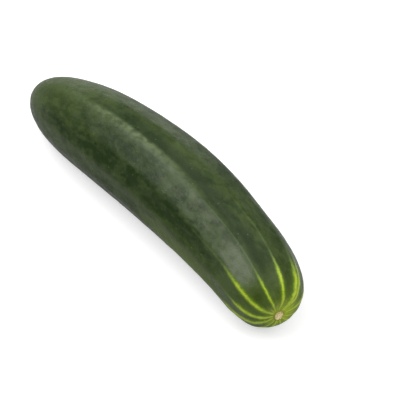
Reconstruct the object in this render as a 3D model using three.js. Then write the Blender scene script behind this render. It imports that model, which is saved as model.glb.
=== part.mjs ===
// A cucumber, picked whole and lying on its side: one solid fruit, slightly bent, with
// soft ribs along it, a corky blossom scar at the +X end and a stem scar at the -X end.
// Millimetres, +Z up. The bend lies flat on the table and bulges towards +Y.

import * as THREE from "three";

// The body
const RADIUS = 27.5; // half the thickness at the belly
const HALF_LENGTH = 113; // half the length between the two ends, along X
const BLOSSOM_EXTRA = 16; // the blossom half is longer by this, the stem half shorter
const STEM_CLOSE = { fullness: 2.4, bluntness: 2 }; // how the girth closes at each end
const BLOSSOM_CLOSE = { fullness: 5.9, bluntness: 3.3 };
const BELLY = { at: 0.2, spread: 0.3, share: 0.035 }; // slight swelling and slight waist,
const WAIST = { at: 0.7, spread: 0.22, share: -0.046 }; // each as a share of the girth

// The bend, sideways along Y, and how far the thinner ends sink towards the table
const BEND = 9.4; // bulge at the belly
const LEAN = 9.4; // how much more the blossom half bends
const KINK = { at: 0.74, spread: 0.12, depth: 0.8 };
const SINK = 6;

// The ribs, as angles round the body near the blossom end: 0 is the top, 90 is +Y
const RIB_ANGLES = [13, 46, 82, 116, 146, 175, 204, 231, 258, 285, 310, 342];
const RIB_HEIGHT = 0.6; // from the valley between two ribs to their tops
const RIB_SHARPNESS = 1.5;
const RIBS_FADE = { from: -0.75, to: 0.1, least: 0.3 }; // they fade towards the stem end
const TWIST = { from: 0.85, degrees: 6 }; // how the ribs turn towards the stem end
const FURROW = { angle: 350, halfWidth: 6, depth: 0.4, from: -0.45, to: 0.85, taper: 0.25 };

// The two scars, each in a shallow dimple. Lengths are measured from the end's own axis.
const BLOSSOM_END = { dimple: 0.8, dimpleSpread: 6, scar: 2.7, rise: 0.75, rim: 0.6, hollow: 0.25 };
const STEM_END = { dimple: 1.3, dimpleSpread: 8, scar: 4.1, rise: 0.8, rim: 0.8, hollow: 0.4 };
// The blossom scar sits a little towards -Y of its axis, and faces a little upwards. The
// tilt is a slope, and both die away within the spread.
const BLOSSOM_LEAN = { aside: -1, tilt: 0.26, spread: 8 };

// The rest spot: how far the underside is pressed flat where it lies
const PRESSED = 0.5;

// How finely the skin is faceted
const SIDES = 72;
const BODY_RINGS = 44;
const SPINE_STEP = 0.005; // the stretch of t that the spine's direction is taken over
const BLOSSOM_RING_RADII = [11, 8.6, 6.6, 4.9, 3.7, 3.1, 2.7, 2.3, 1.6];
const STEM_RING_RADII = [13.5, 11, 8.8, 6.9, 5.5, 4.6, 4, 3.4, 2.2];

const bump = (t, { at, spread }) => Math.exp(-(((t - at) / spread) ** 2));
const smooth = (from, to, value) => THREE.MathUtils.smoothstep(value, from, to);

// Every place on the fruit is named by t, from -1 at the stem end through 0 at the belly
// to 1 at the blossom end, and by an angle round the body.
function closeOf(t) {
  return t < 0 ? STEM_CLOSE : BLOSSOM_CLOSE;
}

function girth(t) {
  const { fullness, bluntness } = closeOf(t);
  const closing = Math.max(0, 1 - Math.abs(t) ** fullness) ** (1 / bluntness);
  const swelling = 1 + BELLY.share * bump(t, BELLY) + WAIST.share * bump(t, WAIST);
  return RADIUS * closing * swelling;
}

// The place t where the plain closing curve has the given radius
function placeOfRadius(radius, { fullness, bluntness }) {
  return (1 - (radius / RADIUS) ** bluntness) ** (1 / fullness);
}

function spine(t) {
  const x = HALF_LENGTH * t + BLOSSOM_EXTRA * t * t;
  const y = (1 - t * t) * (BEND + LEAN * t) + KINK.depth * bump(t, KINK);
  const z = RADIUS - SINK * Math.tanh((RADIUS - girth(t)) / SINK);
  return new THREE.Vector3(x, y, z);
}

function spineDirection(t) {
  const ahead = spine(Math.min(1, t + SPINE_STEP));
  const behind = spine(Math.max(-1, t - SPINE_STEP));
  return ahead.sub(behind).normalize();
}

// How far the skin lies below the rib tops at an angle: 0 on a rib, RIB_HEIGHT in a valley
function valley(degrees) {
  const first = RIB_ANGLES[0];
  const angles = [...RIB_ANGLES, first + 360];
  const turned = degrees < first ? degrees + 360 : degrees;
  const next = angles.findIndex((angle) => angle > turned);
  const phase = (turned - angles[next - 1]) / (angles[next] - angles[next - 1]);
  return RIB_HEIGHT * Math.sin(Math.PI * phase) ** RIB_SHARPNESS;
}

function relief(t, angle) {
  const degrees = (angle - TWIST.degrees * (TWIST.from - t) + 360) % 360;
  const fade = RIBS_FADE.least + (1 - RIBS_FADE.least) * smooth(RIBS_FADE.from, RIBS_FADE.to, t);
  const along =
    smooth(FURROW.from, FURROW.from + FURROW.taper, t) *
    (1 - smooth(FURROW.to - FURROW.taper, FURROW.to, t));
  const across = Math.exp(-(((degrees - FURROW.angle) / FURROW.halfWidth) ** 2));
  const overZero = Math.exp(-(((degrees + 360 - FURROW.angle) / FURROW.halfWidth) ** 2));
  const ribs = (RIB_HEIGHT / 2 - valley(degrees)) * fade;
  return (ribs - FURROW.depth * along * (across + overZero)) * (girth(t) / RADIUS);
}

// How far an end's skin stands out along the spine, at a distance from the end's axis
function endRelief(radius, end) {
  const dimple = -end.dimple * Math.exp(-((radius / end.dimpleSpread) ** 2));
  const disc = 1 - smooth(end.scar - end.rim / 2, end.scar + end.rim / 2, radius);
  const hollow = end.hollow * (1 - smooth(0, end.scar - end.rim / 2, radius));
  return dimple + disc * (end.rise - hollow);
}

function skinPoint(t, degrees) {
  const angle = THREE.MathUtils.degToRad(degrees);
  const along = spineDirection(t);
  const sideways = new THREE.Vector3(0, 0, 1).cross(along).normalize();
  const upwards = along.clone().cross(sideways);
  const radius = girth(t);
  const outwards = radius + relief(t, degrees);
  const near = t < 0 ? 0 : Math.exp(-((radius / BLOSSOM_LEAN.spread) ** 2));
  const tilted = BLOSSOM_LEAN.tilt * near * radius * Math.cos(angle);
  const end = t < 0 ? -endRelief(radius, STEM_END) : endRelief(radius, BLOSSOM_END) - tilted;
  return spine(t)
    .addScaledVector(upwards, outwards * Math.cos(angle))
    .addScaledVector(sideways, outwards * Math.sin(angle) + BLOSSOM_LEAN.aside * near)
    .addScaledVector(along, end);
}

// Rings close together at the two scars and evenly spread between them
function ringPlaces() {
  const stem = STEM_RING_RADII.map((radius) => -placeOfRadius(radius, STEM_CLOSE)).reverse();
  const blossom = BLOSSOM_RING_RADII.map((radius) => placeOfRadius(radius, BLOSSOM_CLOSE));
  const body = [];
  for (let ring = 1; ring < BODY_RINGS; ring += 1) {
    const t = -Math.cos((Math.PI * ring) / BODY_RINGS);
    if (t > stem[stem.length - 1] + 0.005 && t < blossom[0] - 0.005) body.push(t);
  }
  return [...stem, ...body, ...blossom];
}

// Puts the origin on the table, under the middle of the fruit's box, and presses it flat there
function layOnTable(points) {
  const box = new THREE.Box3().setFromPoints(points);
  const middle = box.getCenter(new THREE.Vector3());
  const table = box.min.z + PRESSED;
  for (const point of points) {
    point.set(point.x - middle.x, point.y - middle.y, Math.max(0, point.z - table));
  }
}

function fruitGeometry() {
  const rings = ringPlaces();
  const points = [];
  for (const t of rings) {
    for (let side = 0; side < SIDES; side += 1) points.push(skinPoint(t, (360 * side) / SIDES));
  }
  const stemPole = points.length;
  const blossomPole = stemPole + 1;
  points.push(skinPoint(-1, 0), skinPoint(1, 0));
  layOnTable(points);

  const last = (rings.length - 1) * SIDES;
  const faces = [];
  for (let side = 0; side < SIDES; side += 1) {
    const next = (side + 1) % SIDES;
    faces.push(stemPole, side, next);
    for (let ring = 0; ring < last; ring += SIDES) {
      faces.push(ring + side, ring + SIDES + side, ring + SIDES + next);
      faces.push(ring + side, ring + SIDES + next, ring + next);
    }
    faces.push(last + side, blossomPole, last + next);
  }

  const geometry = new THREE.BufferGeometry();
  geometry.setFromPoints(points);
  geometry.setIndex(faces);
  geometry.computeVertexNormals();
  return geometry;
}

const skin = new THREE.MeshStandardMaterial({ color: 0x3d5029, roughness: 0.42, metalness: 0 });
const cucumber = new THREE.Mesh(fruitGeometry(), skin);
cucumber.name = "cucumber";

const part = new THREE.Group();
part.add(cucumber);

export default part;
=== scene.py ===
# %% [markdown]
# # A cucumber, dressed round its packed frame
#
# The fruit lies on a pale table, bent to one side, with its blossom end towards the camera.
# The frame holds the plain solid at its real size. This script grows a finer skin over that
# solid by the same formulas, paints it with procedural materials, and lights it softly.
# Lengths are written in millimetres while the skin is shaped, and in metres from there on.

# %% Load the frame
import math

import bpy
import numpy as np
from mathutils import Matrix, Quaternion, Vector, noise


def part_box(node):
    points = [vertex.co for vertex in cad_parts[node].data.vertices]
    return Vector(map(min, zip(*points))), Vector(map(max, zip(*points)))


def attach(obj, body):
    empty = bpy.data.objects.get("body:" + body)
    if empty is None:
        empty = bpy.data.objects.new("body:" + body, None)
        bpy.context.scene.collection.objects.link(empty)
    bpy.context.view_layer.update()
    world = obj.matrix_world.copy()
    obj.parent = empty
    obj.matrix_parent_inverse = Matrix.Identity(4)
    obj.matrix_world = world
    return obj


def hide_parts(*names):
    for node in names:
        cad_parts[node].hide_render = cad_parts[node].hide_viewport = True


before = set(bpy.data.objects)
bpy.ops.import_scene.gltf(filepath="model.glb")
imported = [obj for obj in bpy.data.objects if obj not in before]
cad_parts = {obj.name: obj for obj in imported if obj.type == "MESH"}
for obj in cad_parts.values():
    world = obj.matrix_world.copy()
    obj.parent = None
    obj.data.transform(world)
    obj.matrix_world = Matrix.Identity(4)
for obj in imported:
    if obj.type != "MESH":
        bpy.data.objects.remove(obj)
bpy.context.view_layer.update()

MM = 0.001
node_low, node_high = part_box("cucumber")
print("packed fruit, mm:", [round(side / MM, 1) for side in node_high - node_low])

# %% [markdown]
# ## The body
#
# A cucumber could be sculpted, or lofted by hand between a few rings. Here the girth, the
# spine and the ribs are formulas of one value t, from -1 at the stem end to 1 at the blossom
# end, so the skin can be as fine as it needs to be and still be the same fruit as the solid.

# %% The girth and the spine
RADIUS = 27.5  # half the thickness at the belly
HALF_LENGTH = 113  # half the length between the two ends, along X
BLOSSOM_EXTRA = 16  # the blossom half is longer by this, the stem half shorter
STEM_CLOSE = {"fullness": 2.4, "bluntness": 2.0}  # how the girth closes at each end
BLOSSOM_CLOSE = {"fullness": 5.9, "bluntness": 3.3}
BELLY = {"at": 0.2, "spread": 0.3, "share": 0.035}  # a slight swelling and a slight waist,
WAIST = {"at": 0.7, "spread": 0.22, "share": -0.046}  # each as a share of the girth
BEND = 9.4  # how far the belly bulges sideways, towards +Y
LEAN = 9.4  # how much more the blossom half bends
KINK = {"at": 0.74, "spread": 0.12, "depth": 0.8}
SINK = 6  # how far the thinner ends sink towards the table
SPINE_STEP = 0.005  # the stretch of t that the spine's direction is taken over


def bump(t, where):
    return np.exp(-(((t - where["at"]) / where["spread"]) ** 2))


def smooth(start, end, value):
    share = np.clip((value - start) / (end - start), 0, 1)
    return share * share * (3 - 2 * share)


def lifted(least, share):
    """A share from 0 to 1, lifted so that it starts at a least value."""
    return least + (1 - least) * share


def girth(t):
    stem, blossom = [
        np.clip(1 - np.abs(t) ** close["fullness"], 0, 1) ** (1 / close["bluntness"])
        for close in (STEM_CLOSE, BLOSSOM_CLOSE)
    ]
    closing = np.where(t < 0, stem, blossom)
    swelling = 1 + BELLY["share"] * bump(t, BELLY) + WAIST["share"] * bump(t, WAIST)
    return RADIUS * closing * swelling


def spine(t):
    x = HALF_LENGTH * t + BLOSSOM_EXTRA * t * t
    y = (1 - t * t) * (BEND + LEAN * t) + KINK["depth"] * bump(t, KINK)
    z = RADIUS - SINK * np.tanh((RADIUS - girth(t)) / SINK)
    return np.stack([x, y, z], axis=-1)


def unit(vectors):
    return vectors / np.linalg.norm(vectors, axis=-1, keepdims=True)


def spine_directions(t):
    along = unit(spine(np.minimum(1, t + SPINE_STEP)) - spine(np.maximum(-1, t - SPINE_STEP)))
    sideways = unit(np.cross([0, 0, 1], along))
    return along, sideways, np.cross(along, sideways)


print("girth at the belly, mm:", round(float(girth(np.array(0.0))), 2))

# %% [markdown]
# ## Ribs, furrow and scars
#
# The real fruit has soft ribs: flat faces that meet in low rounded edges. One furrow beside
# the top rib is deeper than the rest. The two ends carry corky scars, each in a shallow
# dimple. All of it is low relief added to the girth, so the outline stays that of the solid.

# %% The ribs and the furrow
RIB_ANGLES = [13, 46, 82, 116, 146, 175, 204, 231, 258, 285, 310, 342]  # 0 is up, 90 is +Y
RIB_HEIGHT = 0.6  # from the valley between two ribs to their tops
RIB_SHARPNESS = 1.5
RIBS_FADE = {"from": -0.75, "to": 0.1, "least": 0.3}  # they fade towards the stem end
TWIST = {"from": 0.85, "degrees": 6}  # how the ribs turn towards the stem end
FURROW = {"angle": 350, "half_width": 6, "depth": 0.4, "from": -0.45, "to": 0.85, "taper": 0.25}


def degrees_off(degrees, centre):
    """How far an angle is from a centre, from -180 to 180."""
    return (degrees - centre + 180) % 360 - 180


def on_ribs(t, angle):
    """The angle as the ribs count it: the twist of the fruit taken out."""
    return (angle - TWIST["degrees"] * (TWIST["from"] - t)) % 360


def valley(degrees):
    edges = np.array(RIB_ANGLES + [RIB_ANGLES[0] + 360])
    turned = np.where(degrees < edges[0], degrees + 360, degrees)
    rib = np.clip(np.searchsorted(edges, turned, side="right") - 1, 0, len(edges) - 2)
    phase = (turned - edges[rib]) / (edges[rib + 1] - edges[rib])
    return RIB_HEIGHT * np.sin(np.pi * np.clip(phase, 0, 1)) ** RIB_SHARPNESS


def relief(t, angle):
    degrees = on_ribs(t, angle)
    fade = lifted(RIBS_FADE["least"], smooth(RIBS_FADE["from"], RIBS_FADE["to"], t))
    begins = smooth(FURROW["from"], FURROW["from"] + FURROW["taper"], t)
    ends = 1 - smooth(FURROW["to"] - FURROW["taper"], FURROW["to"], t)
    off = degrees_off(degrees, FURROW["angle"]) / FURROW["half_width"]
    furrow = FURROW["depth"] * begins * ends * np.exp(-(off ** 2))
    return ((RIB_HEIGHT / 2 - valley(degrees)) * fade - furrow) * girth(t) / RADIUS


belly_relief = relief(np.zeros(360), np.arange(360.0))
print("relief round the belly, mm:", belly_relief.min().round(2), belly_relief.max().round(2))

# %% The dimples and the scars at the two ends
BLOSSOM_END = {"dimple": 0.8, "spread": 6, "scar": 2.7, "rise": 0.75, "rim": 0.6, "hollow": 0.25}
STEM_END = {"dimple": 1.3, "spread": 8, "scar": 4.1, "rise": 0.8, "rim": 0.8, "hollow": 0.4}
BLOSSOM_LEAN = {"aside": -1.0, "tilt": 0.26, "spread": 8}


def end_relief(radius, end):
    dimple = -end["dimple"] * np.exp(-((radius / end["spread"]) ** 2))
    disc = 1 - smooth(end["scar"] - end["rim"] / 2, end["scar"] + end["rim"] / 2, radius)
    hollow = end["hollow"] * (1 - smooth(0, end["scar"] - end["rim"] / 2, radius))
    return dimple + disc * (end["rise"] - hollow)


def blossom_lean(t, angle, radius):
    """The blossom scar sits a little aside, and faces a little upwards."""
    near = np.where(t > 0, np.exp(-((radius / BLOSSOM_LEAN["spread"]) ** 2)), 0)
    tilted = -BLOSSOM_LEAN["tilt"] * near * radius * np.cos(np.radians(angle))
    return BLOSSOM_LEAN["aside"] * near, tilted


scar_middle = np.zeros(1)
print("the blossom scar stands out, mm:", end_relief(scar_middle, BLOSSOM_END).round(2))
print("the stem scar stands out, mm:", end_relief(scar_middle, STEM_END).round(2))

# %% [markdown]
# ## Lumps and cork
#
# No fruit is a perfect solid of formulas. Slow noise gives the skin its faint lumps, a little
# longer along the fruit than across. The corky scars crumble, so fast noise roughens them.
# The noise is read on the straightened fruit, so the bend doesn't stretch it.

# %% The uneven skin
LUMPS = [
    {"height": 0.22, "along": 30, "across": 15, "seed": 3.1},
    {"height": 0.13, "along": 11, "across": 7, "seed": 17.4},
    {"height": 0.09, "along": 4.5, "across": 3.4, "seed": 41.9},
]
CORK = {"height": 0.16, "size": 0.9, "seed": 8.8, "overlap": 0.2}


def noise_at(points, along, across, seed):
    size = np.array([along, across, across])
    shifted = points / size + seed
    return np.array([noise.noise(Vector(place)) for place in shifted])


def lumps(straight):
    height = np.zeros(len(straight))
    for one in LUMPS:
        height += one["height"] * noise_at(straight, one["along"], one["across"], one["seed"])
    return height


def cork(straight, radius, end):
    inside = 1 - smooth(end["scar"] - end["rim"] / 2, end["scar"] + CORK["overlap"], radius)
    crumbs = np.zeros(len(radius))
    near = inside > 0
    crumbs[near] = noise_at(straight[near], CORK["size"], CORK["size"], CORK["seed"])
    return CORK["height"] * crumbs * inside


print("lumps of at most, mm:", [one["height"] for one in LUMPS])

# %% [markdown]
# ## The skin mesh
#
# Rings run round the fruit from end to end. They crowd together at the scars, where the
# relief is fine, and spread out over the belly. Each point keeps its place on the
# straightened fruit, which the materials read later.

# %% The rings
SIDES = 240
BODY_RINGS = 330
SCAR_RINGS = 22
SCAR_REACH = {"stem": 6.0, "blossom": 4.0}
FIRST_RING = 0.25
RING_GAP = 1e-4


def place_of_radius(radius, close):
    return (1 - (radius / RADIUS) ** close["bluntness"]) ** (1 / close["fullness"])


def ring_places():
    stem_radii = np.linspace(FIRST_RING, SCAR_REACH["stem"], SCAR_RINGS)
    blossom_radii = np.linspace(SCAR_REACH["blossom"], FIRST_RING, SCAR_RINGS)
    stem = -place_of_radius(stem_radii, STEM_CLOSE)
    blossom = place_of_radius(blossom_radii, BLOSSOM_CLOSE)
    body = -np.cos(np.pi * np.arange(1, BODY_RINGS) / BODY_RINGS)
    body = body[(body > stem[-1] + RING_GAP) & (body < blossom[0] - RING_GAP)]
    return np.concatenate([stem, body, blossom])


ring_t = ring_places()
side_angle = 360 * np.arange(SIDES) / SIDES
t = np.append(np.repeat(ring_t, SIDES), [-1.0, 1.0])
angle = np.append(np.tile(side_angle, len(ring_t)), [0.0, 0.0])
print("rings:", len(ring_t), "points:", len(t))

# %% The points of the skin
along, sideways, upwards = spine_directions(t)
radius = girth(t)
turn = np.radians(angle)[:, None]
outwards = np.cos(turn) * upwards + np.sin(turn) * sideways
plain = spine(t) + radius[:, None] * outwards
upright = radius * np.cos(turn[:, 0])
level = radius * np.sin(turn[:, 0])
straight = np.stack([spine(t)[:, 0], upright, level], axis=-1)

at_stem = t < 0
end_rise = np.where(at_stem, end_relief(radius, STEM_END), end_relief(radius, BLOSSOM_END))
crumbs = np.where(at_stem, cork(straight, radius, STEM_END), cork(straight, radius, BLOSSOM_END))
towards_end = np.where(at_stem, -1.0, 1.0)[:, None] * along
aside, tilted = blossom_lean(t, angle, radius)
smooth_skin = plain + relief(t, angle)[:, None] * outwards + end_rise[:, None] * towards_end
smooth_skin = smooth_skin + aside[:, None] * sideways + tilted[:, None] * along
print("the smooth skin is this long, mm:", np.ptp(smooth_skin[:, 0]).round(1))

# %% The lumps and the cork, pushed out along the skin's normals
grid = plain[:-2].reshape(len(ring_t), SIDES, 3)
down_the_fruit = np.gradient(grid, axis=0)
round_the_fruit = np.roll(grid, -1, axis=1) - np.roll(grid, 1, axis=1)
normals = unit(np.cross(down_the_fruit, round_the_fruit)).reshape(-1, 3)
normals = np.vstack([normals, -along[-2], along[-1]])
uneven = lumps(straight) + crumbs
skin_points = smooth_skin + uneven[:, None] * normals
print("lumps and crumbs, mm:", uneven.min().round(2), "to", uneven.max().round(2))

# %% Lay the fruit on the table, where the packed solid lies
PRESSED = 0.5  # how far the underside is pressed flat where it lies

frame_middle = (node_low + node_high) / 2 / MM
middle = (smooth_skin.min(axis=0) + smooth_skin.max(axis=0)) / 2
lowest = smooth_skin[:, 2].min()
shift = np.array([frame_middle.x - middle[0], frame_middle.y - middle[1], -lowest - PRESSED])
skin_points = skin_points + shift
skin_points[:, 2] = np.maximum(0, skin_points[:, 2])
print("moved from the spine's own frame by, mm:", np.round(shift, 3))
print("top of the skin, mm:", skin_points[:, 2].max().round(2))
print("top of the solid, mm:", round(node_high.z / MM, 2))

# %% The faces
rings = len(ring_t)
first = np.arange(rings * SIDES).reshape(rings, SIDES)
beside = np.roll(first, -1, axis=1)
quads = np.stack([first[:-1], first[1:], beside[1:], beside[:-1]], axis=-1).reshape(-1, 4)
stem_pole = rings * SIDES
blossom_pole = stem_pole + 1
stem_fan = [(stem_pole, int(a), int(b)) for a, b in zip(first[0], beside[0])]
blossom_fan = [(int(a), blossom_pole, int(b)) for a, b in zip(first[-1], beside[-1])]

skin_mesh = bpy.data.meshes.new("cucumber_skin")
skin_mesh.from_pydata((skin_points * MM).tolist(), [], quads.tolist() + stem_fan + blossom_fan)
skin_mesh.polygons.foreach_set("use_smooth", [True] * len(skin_mesh.polygons))
skin_mesh.update()
fruit = bpy.data.objects.new("cucumber_skin", skin_mesh)
bpy.context.scene.collection.objects.link(fruit)
print("triangles:", 2 * len(quads) + len(stem_fan) + len(blossom_fan))

# %% [markdown]
# ## What the materials need to know
#
# A stripe is a line on the skin, so the mesh carries how far each point is from the nearest
# stripe, in stripe half-widths, and how strong that stripe is there. Both change slowly, so
# the shader can cut a sharp, ragged edge out of them. The distances from the two ends and
# the place on the straightened fruit are carried the same way.

# %% Distances over the skin
ring_step = np.linalg.norm(np.diff(grid, axis=0), axis=2).mean(axis=1)
ring_run = np.concatenate([[girth(ring_t[:1])[0]], ring_step]).cumsum()
whole_run = ring_run[-1] + girth(ring_t[-1:])[0]
from_stem = np.append(np.repeat(ring_run, SIDES), [0.0, whole_run])
from_blossom = whole_run - from_stem
rib_angle = on_ribs(t, angle)
print("from scar to scar over the skin, mm:", round(float(whole_run), 1))

# %% The stripes
# angle: where it runs along the fruit; near: where it meets the scar; half_width: in mm
# bright and faint: how far from the scar it stays bright, and where its last trace ends
# power and trace: how strongly it is coloured in each of the two
STRIPES = [
    {"angle": 285.5, "near": 283, "half_width": 1.35, "bright": 32, "faint": 60, "power": 0.92, "trace": 0.2},
    {"angle": 309.5, "near": 310, "half_width": 1.3, "bright": 45, "faint": 95, "power": 0.8, "trace": 0.22},
    {"angle": 342, "near": 331, "half_width": 0.8, "bright": 32, "faint": 125, "power": 0.82, "trace": 0.22},
    {"angle": 12.5, "near": 1, "half_width": 1.1, "bright": 36, "faint": 95, "power": 0.9, "trace": 0.24},
    {"angle": 42, "near": 40, "half_width": 1.8, "bright": 33, "faint": 60, "power": 1.0, "trace": 0.25},
    {"angle": 51, "near": 50, "half_width": 1.4, "bright": 35, "faint": 68, "power": 1.0, "trace": 0.25},
    {"angle": 82, "near": 84, "half_width": 1.5, "bright": 26, "faint": 50, "power": 0.9, "trace": 0.2},
    {"angle": 116, "near": 119, "half_width": 1.2, "bright": 29, "faint": 58, "power": 0.85, "trace": 0.2},
    {"angle": 146, "near": 144, "half_width": 1.6, "bright": 34, "faint": 70, "power": 0.95, "trace": 0.2},
    {"angle": 175, "near": 174, "half_width": 1.05, "bright": 27, "faint": 48, "power": 0.8, "trace": 0.2},
    {"angle": 204, "near": 206, "half_width": 1.4, "bright": 31, "faint": 64, "power": 0.9, "trace": 0.2},
    {"angle": 231, "near": 230, "half_width": 1.1, "bright": 26, "faint": 52, "power": 0.8, "trace": 0.2},
    {"angle": 262, "near": 262, "half_width": 1.6, "bright": 38, "faint": 75, "power": 0.8, "trace": 0.15},
    {"angle": 325, "near": 322, "half_width": 0.7, "bright": 9, "faint": 17, "power": 0.55, "trace": 0.2},
    {"angle": 352, "near": 346, "half_width": 0.6, "bright": 8, "faint": 26, "power": 0.4, "trace": 0.2},
    {"angle": 64, "near": 66, "half_width": 0.9, "bright": 10, "faint": 18, "power": 0.7, "trace": 0.3},
    {"angle": 99, "near": 101, "half_width": 0.8, "bright": 10, "faint": 20, "power": 0.6, "trace": 0.3},
    {"angle": 132, "near": 131, "half_width": 0.7, "bright": 9, "faint": 18, "power": 0.6, "trace": 0.2},
    {"angle": 191, "near": 190, "half_width": 0.7, "bright": 9, "faint": 20, "power": 0.55, "trace": 0.2},
    {"angle": 244, "near": 245, "half_width": 0.7, "bright": 9, "faint": 16, "power": 0.55, "trace": 0.2},
]
print("stripes:", len(STRIPES), "of which short:", sum(one["bright"] <= 10 for one in STRIPES))

# %% How far each point is from its nearest stripe
TURNS_IN = 10.0
THINS = {"from": 2.0, "to": 14.0, "least": 0.45}
DIES = {"from": 0.7, "to": 1.2, "thinner": 0.4}  # from and to: shares of the bright stretch
TRACE_FADES = 0.5  # the share of the faint stretch from which its trace fades
TOO_FAINT = 0.002
NO_STRIPE = 50.0

stripe_gap = np.full(len(t), NO_STRIPE)
stripe_power = np.zeros(len(t))
stripe_dying = np.zeros(len(t))
for stripe in STRIPES:
    turned_in = np.exp(-from_blossom / TURNS_IN)
    centre = stripe["angle"] + (stripe["near"] - stripe["angle"]) * turned_in
    counted = np.where(from_blossom > THINS["to"], rib_angle, angle)
    off = np.radians(degrees_off(counted, centre)) * np.maximum(radius, 1.0)
    narrow = lifted(THINS["least"], smooth(THINS["from"], THINS["to"], from_blossom))
    dying = smooth(stripe["bright"] * DIES["from"], stripe["bright"] * DIES["to"], from_blossom)
    gap = np.abs(off) / (stripe["half_width"] * narrow * (1 - DIES["thinner"] * dying))
    power = stripe["power"] + (stripe["trace"] - stripe["power"]) * dying
    power = power * (1 - smooth(stripe["faint"] * TRACE_FADES, stripe["faint"], from_blossom))
    nearer = (gap < stripe_gap) & (power > TOO_FAINT)
    stripe_gap = np.where(nearer, gap, stripe_gap)
    stripe_power = np.where(nearer, power, stripe_power)
    stripe_dying = np.where(nearer, dying, stripe_dying)
print("points on a stripe:", int(((stripe_gap < 1) & (stripe_power > 0.1)).sum()))

# %% [markdown]
# ## The broad tones between the stripes
#
# The real skin isn't one green. It flushes bright round the blossom scar, a grey waxy bloom
# lies beside the top rib, and long soft bands are paler or darker. Some tones are painted
# light and shade: painted shade in the furrow, in the valleys between the ribs and in a band
# along the flank, painted light on the lower flank and on the top of the stem end, and
# painted highlights over the bloom, on a glint near the blossom end and along the top rib.
# All of this could be noise, but here each tone has its own place on this one fruit. So each
# is a soft patch worked out on the mesh, from the angle round the fruit and the distance
# from the scar, and the shader only mixes its colour in.

# %% Helpers for soft patches


def facing(centre):
    """1 on the side of the fruit at that angle, 0 on the opposite side."""
    return 0.5 + 0.5 * np.cos(np.radians(angle - centre))


def stretch(start, full, fades, end):
    """1 from full to fades, 0 before start and after end, in mm from the blossom scar."""
    return smooth(start, full, from_blossom) * (1 - smooth(fades, end, from_blossom))


def band(where):
    """A soft band along the fruit, 1 in its middle. Its drift is in degrees for each mm."""
    centre = where["angle"] + where["drift"] * from_blossom
    off = degrees_off(rib_angle, centre) / where["half_width"]
    return np.exp(-(off ** 2)) * stretch(*where["along"])


print("share of the points that face the top:", (facing(0.0) > 0.5).mean().round(2))

# %% The bright flush and the lime collar round the blossom scar
FLUSH = {"angle": 75, "reach": 14, "steepness": 1.6, "least": 0.24}
COLLAR = {"angle": 75, "full": 4.5, "gone": 15.0, "least": 0.25}

flush = np.exp(-((from_blossom / FLUSH["reach"]) ** FLUSH["steepness"]))
flush = flush * lifted(FLUSH["least"], facing(FLUSH["angle"]))
collar = 1 - smooth(COLLAR["full"], COLLAR["gone"], from_blossom)
collar = collar * lifted(COLLAR["least"], facing(COLLAR["angle"]))
print("points in the flush and in the collar:", (flush > 0.5).sum(), (collar > 0.5).sum())

# %% Painted shade in the furrow, and one dark spot between two stripes
FURROW_SHADE = {
    "angle": FURROW["angle"] + 3,
    "half_width": 1.25 * FURROW["half_width"],
    "drift": 0,
    "along": (16, 36, 130, 170),
}
DARK_SPOT = {"angle": 324, "from_scar": 21, "across": 3.4, "along": 5}

spot_across = np.radians(degrees_off(angle, DARK_SPOT["angle"])) * radius / DARK_SPOT["across"]
spot_along = (from_blossom - DARK_SPOT["from_scar"]) / DARK_SPOT["along"]
dark_spot = np.exp(-(spot_across ** 2) - spot_along ** 2)
furrow = np.maximum(band(FURROW_SHADE), dark_spot)
print("points in the dark furrow:", (furrow > 0.5).sum())

# %% A paler blossom end, painted light on the stem end's top and on the lower flank, and a band of painted shade above the flank
# painted light: the upper side of the stem end is paler, as light from above falls on it
STEM_TOP_LIGHT = {"angle": 20, "narrowness": 3, "full": 10, "gone": 110, "share": 0.95}
PALE_BLOSSOM = {"full": 30, "gone": 90, "share": 0.28}
# painted shade: a darker band along the flank, above the lower flank
PAINTED_SHADE_BAND = {"angle": 310, "drift": -0.1, "half_width": 13, "along": (55, 105, 195, 245)}
# painted light: the lower flank near the blossom end is paler and greener, as light thrown up by the table
# falls on it
LOWER_FLANK_LIGHT = {"angle": 261, "drift": 0, "half_width": 19, "along": (12, 67, 80, 135)}
PAINTED_SHADE_SHARE = 0.45
LOWER_FLANK_LIGHT_SHARE = 0.4

stem_top_light = 1 - smooth(STEM_TOP_LIGHT["full"], STEM_TOP_LIGHT["gone"], from_stem)
stem_top_light = stem_top_light * facing(STEM_TOP_LIGHT["angle"]) ** STEM_TOP_LIGHT["narrowness"]
pale_blossom = 1 - smooth(PALE_BLOSSOM["full"], PALE_BLOSSOM["gone"], from_blossom)
lower_flank_light = band(LOWER_FLANK_LIGHT)
paler = STEM_TOP_LIGHT["share"] * stem_top_light + PALE_BLOSSOM["share"] * pale_blossom
paler = paler - PAINTED_SHADE_SHARE * band(PAINTED_SHADE_BAND) + LOWER_FLANK_LIGHT_SHARE * lower_flank_light
print("paler, from", paler.min().round(2), "to", paler.max().round(2))

# %% The waxy bloom beside the top rib with a painted highlight over it, a painted glint, and the pale line along the rib with a painted highlight on its crest
# the waxy bloom beside the top rib, with a painted highlight over it that narrows towards the stem
BLOOM_AND_HIGHLIGHT = {"along": (24, 38, 95, 185), "edge": (0.55, 1.05)}
BLOOM_HIGHLIGHT_TURNS = {"between": (60, 140), "angles": (322, 338), "half_widths": (20, 8.5)}
# painted glint: a bright grey patch beside the top rib near the blossom end
PAINTED_GLINT = {"angle": 324.5, "half_width": 14.5, "along": (26, 34, 44, 66), "edge": (0.6, 1.0)}
# the pale line along the top rib, with a painted highlight on its crest that spreads towards the bloom
RIDGE_LINE_AND_HIGHLIGHT = {"angle": 345.5, "furrow_side": 1.5, "bloom_highlight_side": 3.8, "middle": 150, "reach": 45}

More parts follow.
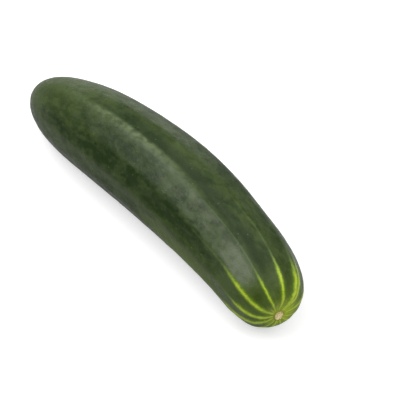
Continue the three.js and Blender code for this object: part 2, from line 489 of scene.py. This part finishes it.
bloom_highlight_turned = smooth(*BLOOM_HIGHLIGHT_TURNS["between"], from_blossom)
bloom_highlight_angle = np.interp(bloom_highlight_turned, (0, 1), BLOOM_HIGHLIGHT_TURNS["angles"])
bloom_highlight_width = np.interp(bloom_highlight_turned, (0, 1), BLOOM_HIGHLIGHT_TURNS["half_widths"])
bloom_highlight_off = np.abs(degrees_off(rib_angle, bloom_highlight_angle)) / bloom_highlight_width
bloom_and_highlight = (1 - smooth(*BLOOM_AND_HIGHLIGHT["edge"], bloom_highlight_off)) * stretch(*BLOOM_AND_HIGHLIGHT["along"])
glint_off = np.abs(degrees_off(rib_angle, PAINTED_GLINT["angle"])) / PAINTED_GLINT["half_width"]
painted_glint = (1 - smooth(*PAINTED_GLINT["edge"], glint_off)) * stretch(*PAINTED_GLINT["along"])
ridge_off = np.radians(degrees_off(rib_angle, RIDGE_LINE_AND_HIGHLIGHT["angle"])) * radius
ridge_off = ridge_off / np.where(ridge_off > 0, RIDGE_LINE_AND_HIGHLIGHT["furrow_side"], RIDGE_LINE_AND_HIGHLIGHT["bloom_highlight_side"])
ridge_along = (from_blossom - RIDGE_LINE_AND_HIGHLIGHT["middle"]) / RIDGE_LINE_AND_HIGHLIGHT["reach"]
ridge_line_and_highlight = np.exp(-(ridge_off ** 2) - ridge_along ** 2)
print("points in the bloom and in its dusty patch:", (bloom_and_highlight > 0.5).sum(), (painted_glint > 0.5).sum())

# %% Store them on the mesh
FIELDS = {
    "stripe_gap": stripe_gap,
    "stripe_power": stripe_power,
    "stripe_dying": stripe_dying,
    "from_blossom": from_blossom,
    "from_stem": from_stem,
    "rib_valley": valley(rib_angle) / RIB_HEIGHT,
    "flush": flush,
    "furrow": furrow,
    "bloom_and_highlight": bloom_and_highlight,
    "painted_glint": painted_glint,
    "lower_flank_light": lower_flank_light,
    "ridge_line_and_highlight": ridge_line_and_highlight,
    "paler": paler,
    "collar": collar,
}
for name, values in FIELDS.items():
    layer = skin_mesh.attributes.new(name, "FLOAT", "POINT")
    layer.data.foreach_set("value", values.astype(np.float32))
straight_layer = skin_mesh.attributes.new("straight", "FLOAT_VECTOR", "POINT")
straight_layer.data.foreach_set("vector", straight.astype(np.float32).ravel())
print("fields on the skin:", len(FIELDS) + 1)

# %% [markdown]
# ## Unwrapping
#
# The body unrolls into one strip with its seam underneath, and each rounded end becomes a
# disc, so that nothing is pinched at the scars.

# %% The three parts of the map: a strip and two discs
CAP_RUN = 26.0
STRIP_TOP = 0.70
CAP_MIDDLES = {"stem": (0.17, 0.86), "blossom": (0.5, 0.86)}
CAP_SIZE = 0.125
PAST_SEAM = 300  # a face that reaches past this angle and starts before the next one
BEFORE_SEAM = 60  # lies across the seam, so its low angles count as one turn more


def map_places(loop_angles, run):
    strip = np.stack([run / whole_run, loop_angles / 360 * STRIP_TOP], axis=-1)
    turned = np.radians(loop_angles)
    spokes = np.stack([np.sin(turned), np.cos(turned)], axis=-1)
    stem_disc = np.array(CAP_MIDDLES["stem"]) + spokes * (run / CAP_RUN * CAP_SIZE)[:, None]
    blossom_run = (whole_run - run) / CAP_RUN * CAP_SIZE
    blossom_disc = np.array(CAP_MIDDLES["blossom"]) + spokes * blossom_run[:, None]
    return strip, stem_disc, blossom_disc


print("the cap of an end, mm over the skin:", CAP_RUN)

# %% Give every corner of every face its place on the map
loop_points = np.zeros(len(skin_mesh.loops), dtype=np.int32)
skin_mesh.loops.foreach_get("vertex_index", loop_points)
corners = [len(face.vertices) for face in skin_mesh.polygons]
loop_faces = np.repeat(np.arange(len(corners)), corners)
from_seam = (angle - 180) % 360
loop_angles = from_seam[loop_points]
face_far = np.zeros(len(corners))
np.maximum.at(face_far, loop_faces, loop_angles)
over_seam = (face_far[loop_faces] > PAST_SEAM) & (loop_angles < BEFORE_SEAM)
loop_angles = np.where(over_seam, loop_angles + 360, loop_angles)
face_run = np.zeros(len(corners))
np.maximum.at(face_run, loop_faces, from_stem[loop_points])
strip, stem_disc, blossom_disc = map_places(loop_angles, from_stem[loop_points])
in_stem = (face_run <= CAP_RUN)[loop_faces][:, None]
in_blossom = (face_run > whole_run - CAP_RUN)[loop_faces][:, None]
skin_map = skin_mesh.uv_layers.new(name="OFBake")
placed = np.where(in_stem, stem_disc, np.where(in_blossom, blossom_disc, strip))
skin_map.data.foreach_set("uv", placed.astype(np.float32).ravel())
print("map spans", placed.min(axis=0).round(3), placed.max(axis=0).round(3))

# %% [markdown]
# ## Effects shared by the skin and the cork
#
# Blotches break an even colour into soft patches, in several sizes, and crack the cork.
# Specks scatter small dots, in the colour and in the relief. Each is a node group with its
# own inputs, so one place in the file says how it works.

# %% A helper that adds nodes
def add_node(tree, kind, **settings):
    node = tree.nodes.new(kind)
    for name, value in settings.items():
        setattr(node, name, value)
    return node


def new_group(name, inputs, outputs):
    tree = bpy.data.node_groups.new(name, "ShaderNodeTree")
    for label, kind, value in inputs:
        socket = tree.interface.new_socket(label, in_out="INPUT", socket_type=kind)
        if value is not None:
            socket.default_value = value
    for label, kind in outputs:
        tree.interface.new_socket(label, in_out="OUTPUT", socket_type=kind)
    return tree, add_node(tree, "NodeGroupInput"), add_node(tree, "NodeGroupOutput")


print("node groups so far:", len(bpy.data.node_groups))

# %% Blotches: soft patches, longer along the fruit
BLOTCH_DETAIL = 4.0
BLOTCH_ROUGHNESS = 0.55


def blotches_group():
    inputs = [
        ("Place", "NodeSocketVector", None),
        ("Size", "NodeSocketFloat", 8.0),
        ("Stretch", "NodeSocketFloat", 2.0),
        ("Low", "NodeSocketFloat", 0.4),
        ("High", "NodeSocketFloat", 0.65),
    ]
    tree, given, result = new_group("blotches", inputs, [("Mask", "NodeSocketFloat")])
    parts = add_node(tree, "ShaderNodeSeparateXYZ")
    squeeze = add_node(tree, "ShaderNodeMath", operation="DIVIDE")
    joined = add_node(tree, "ShaderNodeCombineXYZ")
    scale = add_node(tree, "ShaderNodeMath", operation="DIVIDE")
    scale.inputs[0].default_value = 1.0
    clouds = add_node(tree, "ShaderNodeTexNoise")
    clouds.inputs["Detail"].default_value = BLOTCH_DETAIL
    clouds.inputs["Roughness"].default_value = BLOTCH_ROUGHNESS
    cut = add_node(tree, "ShaderNodeMapRange", interpolation_type="SMOOTHSTEP")
    link = tree.links.new
    link(given.outputs["Place"], parts.inputs[0])
    link(parts.outputs["X"], squeeze.inputs[0])
    link(given.outputs["Stretch"], squeeze.inputs[1])
    link(squeeze.outputs[0], joined.inputs["X"])
    link(parts.outputs["Y"], joined.inputs["Y"])
    link(parts.outputs["Z"], joined.inputs["Z"])
    link(given.outputs["Size"], scale.inputs[1])
    link(joined.outputs[0], clouds.inputs["Vector"])
    link(scale.outputs[0], clouds.inputs["Scale"])
    link(clouds.outputs["Fac"], cut.inputs["Value"])
    link(given.outputs["Low"], cut.inputs["From Min"])
    link(given.outputs["High"], cut.inputs["From Max"])
    link(cut.outputs["Result"], result.inputs["Mask"])
    return tree


BLOTCHES = blotches_group()
print("group:", BLOTCHES.name)

# %% Specks: small scattered dots
SPECK_SOLID = 0.35  # the share of a dot's radius within which it is full


def specks_group():
    inputs = [
        ("Place", "NodeSocketVector", None),
        ("Spacing", "NodeSocketFloat", 4.0),
        ("Radius", "NodeSocketFloat", 0.4),
        ("Share", "NodeSocketFloat", 0.5),
    ]
    tree, given, result = new_group("specks", inputs, [("Mask", "NodeSocketFloat")])
    scale = add_node(tree, "ShaderNodeMath", operation="DIVIDE")
    scale.inputs[0].default_value = 1.0
    cells = add_node(tree, "ShaderNodeTexVoronoi", feature="F1")
    cells.inputs["Randomness"].default_value = 1.0
    reach = add_node(tree, "ShaderNodeMath", operation="MULTIPLY")
    edge = add_node(tree, "ShaderNodeMath", operation="MULTIPLY")
    edge.inputs[1].default_value = SPECK_SOLID
    dot = add_node(tree, "ShaderNodeMapRange", interpolation_type="SMOOTHSTEP")
    dot.inputs["To Min"].default_value = 1.0
    dot.inputs["To Max"].default_value = 0.0
    lot = add_node(tree, "ShaderNodeSeparateXYZ")
    chosen = add_node(tree, "ShaderNodeMath", operation="LESS_THAN")
    both = add_node(tree, "ShaderNodeMath", operation="MULTIPLY")
    link = tree.links.new
    link(given.outputs["Place"], cells.inputs["Vector"])
    link(given.outputs["Spacing"], scale.inputs[1])
    link(scale.outputs[0], cells.inputs["Scale"])
    link(cells.outputs["Distance"], dot.inputs["Value"])
    link(given.outputs["Radius"], reach.inputs[0])
    link(scale.outputs[0], reach.inputs[1])
    link(reach.outputs[0], edge.inputs[0])
    link(edge.outputs[0], dot.inputs["From Min"])
    link(reach.outputs[0], dot.inputs["From Max"])
    link(cells.outputs["Color"], lot.inputs[0])
    link(lot.outputs["X"], chosen.inputs[0])
    link(given.outputs["Share"], chosen.inputs[1])
    link(dot.outputs["Result"], both.inputs[0])
    link(chosen.outputs[0], both.inputs[1])
    link(both.outputs[0], result.inputs["Mask"])
    return tree


SPECKS = specks_group()
print("group:", SPECKS.name)

# %% [markdown]
# ## The skin's material
#
# The skin could wear a painted image, but an image has one size and one seam. So it is one
# procedural material, mixed from the fields on the mesh: a dark green ground in blotches, the
# broad tones over it, the stripes with their paler hearts, cork at both scars, and fine pale
# specks. The gloss is low and even, and a little rougher in soft clouds, as wax is.

# %% Colours, as linear values
DEEP_GREEN = (0.0125, 0.0275, 0.0040, 1)
LEAF_GREEN = (0.054, 0.081, 0.0230, 1)
# painted shade in the furrow, and the dark spot's own colour
FURROW_GREEN = (0.012, 0.026, 0.0035, 1)
# the waxy bloom's grey, also that of the painted highlight over it
GREY_GREEN = (0.085, 0.115, 0.050, 1)
# painted glint
GLINT_GREY = (0.125, 0.150, 0.092, 1)
# the pale line along the top rib, with a painted highlight on its crest
RIDGE_GREEN = (0.135, 0.178, 0.085, 1)
FLUSH_GREEN = (0.140, 0.215, 0.003, 1)
# painted light on the lower flank
FLANK_LIGHT_GREEN = (0.11, 0.17, 0.015, 1)
PALE_SPECK = (0.14, 0.19, 0.070, 1)
COLLAR_LIME = (0.40, 0.46, 0.015, 1)
STRIPE_GREEN = (0.43, 0.56, 0.030, 1)
STRIPE_EDGE = (0.105, 0.215, 0.004, 1)
STRIPE_TRACE = (0.19, 0.26, 0.105, 1)
STRIPE_HEART = (0.52, 0.61, 0.09, 1)
CORK_TAN = (0.84, 0.71, 0.36, 1)
CORK_BROWN = (0.21, 0.115, 0.035, 1)
RIM_OLIVE = (0.24, 0.24, 0.03, 1)
print("the ground's two greens:", DEEP_GREEN[:3], LEAF_GREEN[:3])


# %% Small builders for the material
class SkinNodes:
    """The node tree of one material, with the few steps that it repeats."""

    def __init__(self, material):
        self.tree = material.node_tree
        self.link = self.tree.links.new

    def put(self, socket, value):
        if isinstance(value, bpy.types.NodeSocket):
            self.link(value, socket)
        else:
            socket.default_value = value

    def field(self, name, output="Fac"):
        return add_node(self.tree, "ShaderNodeAttribute", attribute_name=name).outputs[output]

    def math(self, operation, first_value, second_value):
        node = add_node(self.tree, "ShaderNodeMath", operation=operation)
        self.put(node.inputs[0], first_value)
        self.put(node.inputs[1], second_value)
        return node.outputs[0]

    def times(self, first_value, second_value):
        return self.math("MULTIPLY", first_value, second_value)

    def plus(self, first_value, second_value):
        return self.math("ADD", first_value, second_value)

    def ramp(self, value, start, end, low=0.0, high=1.0):
        """A soft step: low at the start, high at the end."""
        node = add_node(self.tree, "ShaderNodeMapRange", interpolation_type="SMOOTHSTEP")
        self.put(node.inputs["Value"], value)
        self.put(node.inputs["From Min"], start)
        self.put(node.inputs["From Max"], end)
        self.put(node.inputs["To Min"], low)
        self.put(node.inputs["To Max"], high)
        return node.outputs["Result"]

    def blend(self, mask, under, over):
        node = add_node(self.tree, "ShaderNodeMix", data_type="RGBA")
        self.put(node.inputs[0], mask)
        self.put(node.inputs[6], under)
        self.put(node.inputs[7], over)
        return node.outputs[2]

    def group(self, tree, **values):
        node = add_node(self.tree, "ShaderNodeGroup", node_tree=tree)
        for name, value in values.items():
            self.put(node.inputs[name], value)
        return node.outputs["Mask"]

    def clouds(self, place, scale, detail=3.0):
        node = add_node(self.tree, "ShaderNodeTexNoise")
        self.put(node.inputs["Vector"], place)
        node.inputs["Scale"].default_value = scale
        node.inputs["Detail"].default_value = detail
        return node.outputs["Fac"]

    def cut_clouds(self, place, kind):
        """Clouds cut softly between two levels, and spread from a least value to a most."""
        return self.ramp(self.clouds(place, kind["scale"]), *kind["cut"], *kind["values"])

    def waver(self, place, scale):
        """Clouds that go as far below zero as above it."""
        return self.math("SUBTRACT", self.clouds(place, scale), 0.5)


print("builders of the skin:", [name for name in vars(SkinNodes) if name[0] != "_"])

# %% The ground: two greens in blotches of three sizes
GROUND = [
    {"share": 0.36, "blotch": {"Size": 26.0, "Stretch": 2.6, "Low": 0.36, "High": 0.66}},
    {"share": 0.44, "blotch": {"Size": 6.0, "Stretch": 1.7, "Low": 0.40, "High": 0.60}},
    {"share": 0.24, "blotch": {"Size": 1.9, "Stretch": 1.4, "Low": 0.38, "High": 0.66}},
]
# painted shade: the ground is a little darker in the valleys between the ribs
VALLEY_SHARE = -0.12
FURROW_SHARE = 0.8
FLANK_LIGHT_SHARE = 0.5


def ground_colour(skin, place):
    depth = skin.plus(skin.field("paler"), skin.times(skin.field("rib_valley"), VALLEY_SHARE))
    for one in GROUND:
        blotch = skin.group(BLOTCHES, Place=place, **one["blotch"])
        depth = skin.plus(depth, skin.times(blotch, one["share"]))
    green = skin.blend(depth, DEEP_GREEN, LEAF_GREEN)
    # painted shade in the furrow, and the dark spot
    green = skin.blend(skin.times(skin.field("furrow"), FURROW_SHARE), green, FURROW_GREEN)
    # painted light: the lower flank is paler and greener
    return skin.blend(skin.times(skin.field("lower_flank_light"), FLANK_LIGHT_SHARE), green, FLANK_LIGHT_GREEN)


print("blotch sizes, mm:", [one["blotch"]["Size"] for one in GROUND])

# %% The wax on it, with painted highlights: the bloom and its highlight, a painted glint, and the pale line along the rib with a highlight on its crest
BLOOM_HIGHLIGHT_PATCHES = {"Size": 3.4, "Stretch": 1.4, "Low": 0.40, "High": 0.62}
BLOOM_HIGHLIGHT_LEAST = 0.15
LOOSE_BLOOM = {"Size": 9.0, "Stretch": 2.0, "Low": 0.55, "High": 0.8}
LOOSE_SHARE = 0.5
WAX_AND_HIGHLIGHT_SHARE = 0.42
GLINT_PATCHES = {"scale": 0.16, "cut": (0.36, 0.62), "values": (0.45, 0.85)}
RIDGE_MOTTLE = {"scale": 0.26, "cut": (0.36, 0.60), "values": (0.35, 0.9)}


def add_wax_and_highlights(skin, place, green):
    patches = skin.group(BLOTCHES, Place=place, **BLOOM_HIGHLIGHT_PATCHES)
    patches = skin.plus(skin.times(patches, 1 - BLOOM_HIGHLIGHT_LEAST), BLOOM_HIGHLIGHT_LEAST)
    # the waxy bloom with its painted highlight beside the rib, and loose wax elsewhere
    beside_rib = skin.times(skin.field("bloom_and_highlight"), patches)
    loose = skin.times(skin.group(BLOTCHES, Place=place, **LOOSE_BLOOM), LOOSE_SHARE)
    wax_and_highlight = skin.times(skin.math("MAXIMUM", beside_rib, loose), WAX_AND_HIGHLIGHT_SHARE)
    green = skin.blend(wax_and_highlight, green, GREY_GREEN)
    # painted glint near the blossom end
    glint = skin.times(skin.field("painted_glint"), skin.cut_clouds(place, GLINT_PATCHES))
    green = skin.blend(glint, green, GLINT_GREY)
    # the pale line along the top rib, with its painted highlight
    line = skin.times(skin.field("ridge_line_and_highlight"), skin.cut_clouds(place, RIDGE_MOTTLE))
    return skin.blend(line, green, RIDGE_GREEN)


print("wax covers at most, as a share:", WAX_AND_HIGHLIGHT_SHARE)

# %% The bright green near the blossom scar
NEAR_SCAR = {"full": 10.0, "gone": 42.0, "share": 0.22}
FLUSH_CUT = (0.05, 0.75)
FLUSH_WAVER = {"scale": 0.35, "share": 0.35}
COLLAR_PATCHES = {"scale": 0.8, "cut": (0.32, 0.62), "values": (0.25, 0.9)}


def add_flush(skin, place, green, from_blossom_mm):
    tinge = skin.ramp(from_blossom_mm, NEAR_SCAR["full"], NEAR_SCAR["gone"], NEAR_SCAR["share"], 0.0)
    green = skin.blend(tinge, green, FLUSH_GREEN)
    uneven = skin.times(skin.waver(place, FLUSH_WAVER["scale"]), FLUSH_WAVER["share"])
    flush = skin.ramp(skin.plus(skin.field("flush"), uneven), *FLUSH_CUT)
    green = skin.blend(flush, green, FLUSH_GREEN)
    collar = skin.times(skin.field("collar"), skin.cut_clouds(place, COLLAR_PATCHES))
    return skin.blend(collar, green, COLLAR_LIME)


print("the tinge ends this far from the scar, mm:", NEAR_SCAR["gone"])

# %% The stripes: an edge, a core and a pale heart, in stripe half-widths
WANDER = {"scale": 0.35, "share": 1.3}
RAGGED = {"scale": 1.5, "share": 1.1}
BREAKS = {"scale": 0.22, "cut": (0.30, 0.55), "values": (0.75, 1.0)}
STRIPE_HALO = {"full": 0.6, "gone": 2.3, "share": 0.65, "left_on_trace": 0.1}
STRIPE_CORE = {"full": 0.0, "gone": 1.35}
HEART = {"full": -0.3, "gone": 0.6, "share": 0.6, "dies_at": 0.8}


def add_stripes(skin, place, green):
    gap = skin.field("stripe_gap")
    for one in (WANDER, RAGGED):
        gap = skin.plus(gap, skin.times(skin.waver(place, one["scale"]), one["share"]))
    power = skin.times(skin.field("stripe_power"), skin.cut_clouds(place, BREAKS))
    dying = skin.field("stripe_dying")

    halo = skin.times(skin.ramp(gap, STRIPE_HALO["full"], STRIPE_HALO["gone"], 1.0, 0.0), power)
    halo = skin.times(halo, skin.ramp(dying, 0.0, 1.0, 1.0, STRIPE_HALO["left_on_trace"]))
    green = skin.blend(skin.times(halo, STRIPE_HALO["share"]), green, STRIPE_EDGE)
    core = skin.times(skin.ramp(gap, STRIPE_CORE["full"], STRIPE_CORE["gone"], 1.0, 0.0), power)
    green = skin.blend(core, green, skin.blend(dying, STRIPE_GREEN, STRIPE_TRACE))
    heart = skin.times(skin.ramp(gap, HEART["full"], HEART["gone"], HEART["share"], 0.0), core)
    heart = skin.times(heart, skin.ramp(dying, 0.0, HEART["dies_at"], 1.0, 0.0))
    return skin.blend(heart, green, STRIPE_HEART)


print("a stripe's edge reaches, in half-widths:", STRIPE_HALO["gone"])

# %% The corky scars
SCAR_RADII = {"blossom": 2.8, "stem": 4.2}
CORK_WAVER = {"scale": 0.9, "share": 1.6}
CORK_RIM = {"from": 0.2, "to": 1.5, "share": 0.85}
CORK_DISC = {"from": -0.5, "to": 0.1}
CRACKS = {"Size": 0.9, "Stretch": 1.0, "Low": 0.5, "High": 0.62}
CRACK_SHARE = 0.75


def add_cork(skin, place, colour, distance, scar):
    uneven = skin.times(skin.waver(place, CORK_WAVER["scale"]), CORK_WAVER["share"])
    edge = skin.plus(distance, uneven)
    rim = skin.ramp(edge, scar + CORK_RIM["from"], scar + CORK_RIM["to"], CORK_RIM["share"], 0.0)
    disc = skin.ramp(edge, scar + CORK_DISC["from"], scar + CORK_DISC["to"], 1.0, 0.0)
    cracks = skin.group(BLOTCHES, Place=place, **CRACKS)
    tan = skin.blend(skin.times(cracks, CRACK_SHARE), CORK_TAN, CORK_BROWN)
    return skin.blend(disc, skin.blend(rim, colour, RIM_OLIVE), tan), disc


print("cork radii, mm:", SCAR_RADII)

# %% The low relief: pores, specks and grain on the skin, crumbs on the cork
PORES = {"scale": 1.1, "detail": 5.0, "height": 0.10}
GRAIN = {"scale": 3.2, "detail": 4.0, "height": 0.04}
CRUMBS = {"scale": 2.4, "detail": 6.0, "height": 0.35}
SPECK_HEIGHT = 0.05


def add_relief(skin, place, specks, corky):
    pores, grain, crumbs = [
        skin.times(skin.clouds(place, one["scale"], one["detail"]), one["height"])
        for one in (PORES, GRAIN, CRUMBS)
    ]
    height = skin.plus(skin.plus(pores, skin.times(specks, SPECK_HEIGHT)), grain)
    height = skin.plus(height, skin.times(crumbs, corky))
    bumps = add_node(skin.tree, "ShaderNodeBump")
    bumps.inputs["Strength"].default_value = 1.0
    bumps.inputs["Distance"].default_value = MM
    skin.link(height, bumps.inputs["Height"])
    return bumps.outputs["Normal"]


print("crumbs on the cork, mm:", CRUMBS["height"])

# %% Put the skin together
SPECK_DOTS = {"Spacing": 3.6, "Radius": 0.42, "Share": 0.35}
SPECK_SHARE = 0.65
WAX_ROUGHNESS = {"scale": 0.24, "cut": (0.36, 0.62), "values": (0.27, 0.42)}
CORK_ROUGHER = 0.4
GLOSS = 0.2


def skin_material():
    material = bpy.data.materials.new("cucumber_skin")
    material.use_nodes = True
    skin = SkinNodes(material)
    shader = material.node_tree.nodes["Principled BSDF"]
    place = skin.field("straight", "Vector")
    from_blossom_mm = skin.field("from_blossom")
    from_stem_mm = skin.field("from_stem")

    colour = add_wax_and_highlights(skin, place, ground_colour(skin, place))
    colour = add_flush(skin, place, colour, from_blossom_mm)
    colour = add_stripes(skin, place, colour)
    specks = skin.group(SPECKS, Place=place, **SPECK_DOTS)
    colour = skin.blend(skin.times(specks, SPECK_SHARE), colour, PALE_SPECK)
    colour, blossom_cork = add_cork(skin, place, colour, from_blossom_mm, SCAR_RADII["blossom"])
    colour, stem_cork = add_cork(skin, place, colour, from_stem_mm, SCAR_RADII["stem"])
    skin.link(colour, shader.inputs["Base Color"])

    corky = skin.math("MAXIMUM", blossom_cork, stem_cork)
    rough = skin.plus(skin.cut_clouds(place, WAX_ROUGHNESS), skin.times(corky, CORK_ROUGHER))
    skin.link(rough, shader.inputs["Roughness"])
    skin.link(add_relief(skin, place, specks, corky), shader.inputs["Normal"])
    shader.inputs["Specular IOR Level"].default_value = GLOSS
    return material


skin_mesh.materials.append(skin_material())
print("skin nodes:", len(skin_mesh.materials[0].node_tree.nodes))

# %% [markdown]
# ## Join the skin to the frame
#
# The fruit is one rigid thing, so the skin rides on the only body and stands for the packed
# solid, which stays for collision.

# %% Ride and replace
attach(fruit, "root")
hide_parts("cucumber")
print("the skin stands for the packed fruit:", fruit.name)

# %% [markdown]
# ## The table
#
# A plain, nearly white sheet, wide enough to fill the picture. A real one would throw so
# much light back that the flanks of the fruit lost their depth. So only the camera sees the
# sheet white: the light that it throws back is that of a grey one. The camera also sees it
# glow a little, like a light table, which keeps the shadow faint. Far from the fruit it
# glows more, so that its edge doesn't show as a grey horizon.

# %% Make the table
TABLE_HALF = 4.0
TABLE_WHITE = (0.72, 0.72, 0.72, 1)
TABLE_GLOW = {"near": 0.48, "far": 0.95, "from": 0.35, "to": 1.6}
TABLE_THROWN_BACK = (0.54, 0.54, 0.54, 1)
TABLE_ROUGHNESS = 0.8
TABLE_GLOSS = 0.1


def table_material():
    material = bpy.data.materials.new("table_white")
    material.use_nodes = True
    tree = material.node_tree
    shader = tree.nodes["Principled BSDF"]
    ray = add_node(tree, "ShaderNodeLightPath")
    sheet = add_node(tree, "ShaderNodeMix", data_type="RGBA")
    sheet.inputs[6].default_value = TABLE_THROWN_BACK
    sheet.inputs[7].default_value = TABLE_WHITE
    tree.links.new(ray.outputs["Is Camera Ray"], sheet.inputs[0])
    tree.links.new(sheet.outputs[2], shader.inputs["Base Color"])
    place = add_node(tree, "ShaderNodeNewGeometry")
    reach = add_node(tree, "ShaderNodeVectorMath", operation="LENGTH")
    spread = add_node(tree, "ShaderNodeMapRange", interpolation_type="SMOOTHSTEP")
    spread.inputs["From Min"].default_value = TABLE_GLOW["from"]
    spread.inputs["From Max"].default_value = TABLE_GLOW["to"]
    spread.inputs["To Min"].default_value = TABLE_GLOW["near"]
    spread.inputs["To Max"].default_value = TABLE_GLOW["far"]
    tree.links.new(place.outputs["Position"], reach.inputs[0])
    tree.links.new(reach.outputs["Value"], spread.inputs["Value"])
    glow = add_node(tree, "ShaderNodeMath", operation="MULTIPLY")
    tree.links.new(spread.outputs["Result"], glow.inputs[1])
    tree.links.new(ray.outputs["Is Camera Ray"], glow.inputs[0])
    tree.links.new(glow.outputs[0], shader.inputs["Emission Strength"])
    shader.inputs["Emission Color"].default_value = (1, 1, 1, 1)
    shader.inputs["Roughness"].default_value = TABLE_ROUGHNESS
    shader.inputs["Specular IOR Level"].default_value = TABLE_GLOSS
    return material


table_mesh = bpy.data.meshes.new("table")
signs = [(-1, -1), (1, -1), (1, 1), (-1, 1)]
table_corners = [(x * TABLE_HALF, y * TABLE_HALF, 0.0) for x, y in signs]
table_mesh.from_pydata(table_corners, [], [(0, 1, 2, 3)])
table_mesh.materials.append(table_material())
table = bpy.data.objects.new("table", table_mesh)
bpy.context.scene.collection.objects.link(table)
print("table side, m:", 2 * TABLE_HALF)

# %% [markdown]
# ## Camera
#
# The camera stands where the photograph's did: some 40 degrees round from the blossom end,
# looking down steeply, at a long focal length. Its place was found by matching the fruit's
# outline, in the spine's own frame, so it moves by the same shift as the skin.

# %% Place the camera
CAMERA_TURN = math.radians(50)
CAMERA_RISE = math.radians(50)
CAMERA_PLACE = Vector((380.27, -267.5, 552.57))
FOCAL_LENGTH = 107.1
SENSOR = 36

camera_data = bpy.data.cameras.new("camera")
camera_data.lens = FOCAL_LENGTH
camera_data.sensor_width = SENSOR
camera_data.sensor_fit = "HORIZONTAL"
camera = bpy.data.objects.new("camera", camera_data)
camera.location = (CAMERA_PLACE + Vector(shift)) * MM
camera.rotation_euler = (math.pi / 2 - CAMERA_RISE, 0, CAMERA_TURN)
bpy.context.scene.collection.objects.link(camera)
bpy.context.scene.camera = camera
print("camera at, m:", [round(value, 4) for value in camera.location])

# %% [markdown]
# ## Light
#
# The gloss on waxed skin is the picture of the lamps, so the lamps are large soft boxes. The
# key on the left gives the long gloss along the top face, and it is rolled to lie in line
# with the fruit. A low wall of light behind greys the far side, four weaker boxes fill in,
# and the room fills the rest. The camera's view transform is Standard, so the table stays
# white.

# %% Softboxes
FRUIT_MIDDLE = Vector((0.0, 0.0, 0.03))


def softbox(name, turn, rise, distance, width, height, radiance, roll=0):
    """A lit rectangle that faces the fruit. Its turn, rise and roll are in degrees."""
    data = bpy.data.lights.new(name, "AREA")
    data.shape = "RECTANGLE"
    data.size = width
    data.size_y = height
    data.energy = radiance * math.pi * width * height
    light = bpy.data.objects.new(name, data)
    level = math.cos(math.radians(rise))
    turned = math.radians(turn)
    sight = Vector((level * math.cos(turned), level * math.sin(turned), math.sin(math.radians(rise))))
    light.location = FRUIT_MIDDLE + sight * distance
    aim = (-sight).to_track_quat("-Z", "Y") @ Quaternion((0, 0, 1), math.radians(roll))
    light.rotation_euler = aim.to_euler()
    bpy.context.scene.collection.objects.link(light)
    return light


softbox("key_softbox", turn=230, rise=60, distance=1.0, width=0.75, height=0.5, radiance=4.1, roll=-30)
softbox("side_softbox", turn=170, rise=60, distance=1.0, width=0.6, height=0.5, radiance=0.8)
softbox("top_softbox", turn=0, rise=88, distance=1.1, width=1.9, height=1.9, radiance=0.85)
softbox("right_softbox", turn=35, rise=45, distance=1.0, width=0.9, height=0.7, radiance=1.5)
softbox("back_wall", turn=138, rise=7, distance=1.1, width=0.8, height=0.25, radiance=1.8)
softbox("front_softbox", turn=345, rise=20, distance=1.0, width=0.8, height=0.5, radiance=0.7)
print("softboxes:", [light.name for light in bpy.data.lights])

# %% The studio behind: white to the camera, dim as a light
ROOM_LIGHT = 0.24
world = bpy.data.worlds.new("studio")
world.use_nodes = True
room = world.node_tree.nodes["Background"]
seen = add_node(world.node_tree, "ShaderNodeLightPath")
strength = add_node(world.node_tree, "ShaderNodeMath", operation="MAXIMUM")
strength.inputs[1].default_value = ROOM_LIGHT
world.node_tree.links.new(seen.outputs["Is Camera Ray"], strength.inputs[0])
world.node_tree.links.new(strength.outputs[0], room.inputs["Strength"])
room.inputs["Color"].default_value = (1, 1, 1, 1)
bpy.context.scene.world = world
bpy.context.scene.view_settings.view_transform = "Standard"
print("light of the room:", ROOM_LIGHT)

# %% [markdown]
# ## Sizes
#
# The lumps may stand a little outside the packed solid, and no further. The box of the
# solid is taken at the start, and the tops of the skin and of the solid are printed where
# the fruit is laid on the table.
